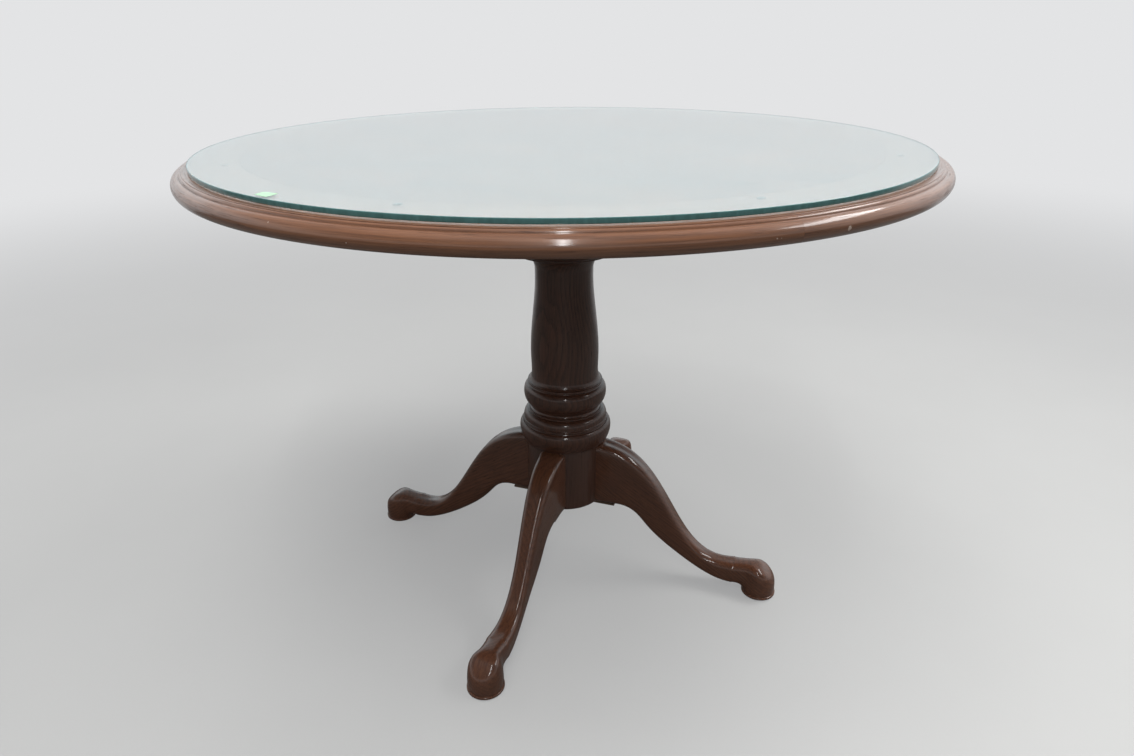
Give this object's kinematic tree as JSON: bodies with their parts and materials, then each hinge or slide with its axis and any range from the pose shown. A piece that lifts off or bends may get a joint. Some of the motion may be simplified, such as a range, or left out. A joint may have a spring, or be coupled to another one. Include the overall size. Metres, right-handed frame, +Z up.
{
  "type": "round pedestal dining table",
  "caption": "Round wooden pedestal table with a moulded edge, a loose glass cover, a turned column and a cross of cabriole legs with club feet.",
  "frame": {"origin": "on the floor under the middle of the table, on the column's axis", "axes": "+Z up along the column; the legs point along -Y (front), +X (right), +Y (back) and -X (left)"},
  "size_m": [1.066, 1.066, 0.74],
  "materials": {
    "clear_glass": "polished clear float glass with a green edge",
    "clear_vinyl": "clear soft disc",
    "stained_wood": "dark red-brown stain under satin lacquer",
    "plain_beech": "bare, sanded",
    "zinc_steel": "zinc plated",
    "bare_steel": "mill scale under clear lacquer",
    "nickel_steel": "nickel plated"
  },
  "bodies": {
    "table": {"base_turning": "stained_wood", "batten_left": "stained_wood", "batten_right": "stained_wood", "batten_screws": "zinc_steel", "block_screws": "zinc_steel", "column_shaft": "stained_wood", "foot_glides": "nickel_steel", "glass_bumpers": "clear_vinyl", "leg_back": "stained_wood", "leg_front": "stained_wood", "leg_hub": "stained_wood", "leg_left": "stained_wood", "leg_right": "stained_wood", "mounting_block": "stained_wood", "rim_back": "stained_wood", "rim_front": "stained_wood", "rim_left": "stained_wood", "rim_right": "stained_wood", "rim_tongues": "plain_beech", "rod_nuts": "zinc_steel", "rod_washers": "zinc_steel", "spider_plate": "bare_steel", "spider_screws": "zinc_steel", "tie_rod": "zinc_steel", "top_board_1": "stained_wood", "top_board_2": "stained_wood", "top_board_3": "stained_wood", "top_board_4": "stained_wood", "top_board_5": "stained_wood", "top_board_6": "stained_wood"},
    "glass": {"glass_top": "clear_glass"}
  },
  "joints": [
    {"name": "glass_lift", "type": "slide", "parent": "table", "child": "glass", "axis": [0, 0, 1], "range_m": [0, 0.15]}
  ]
}
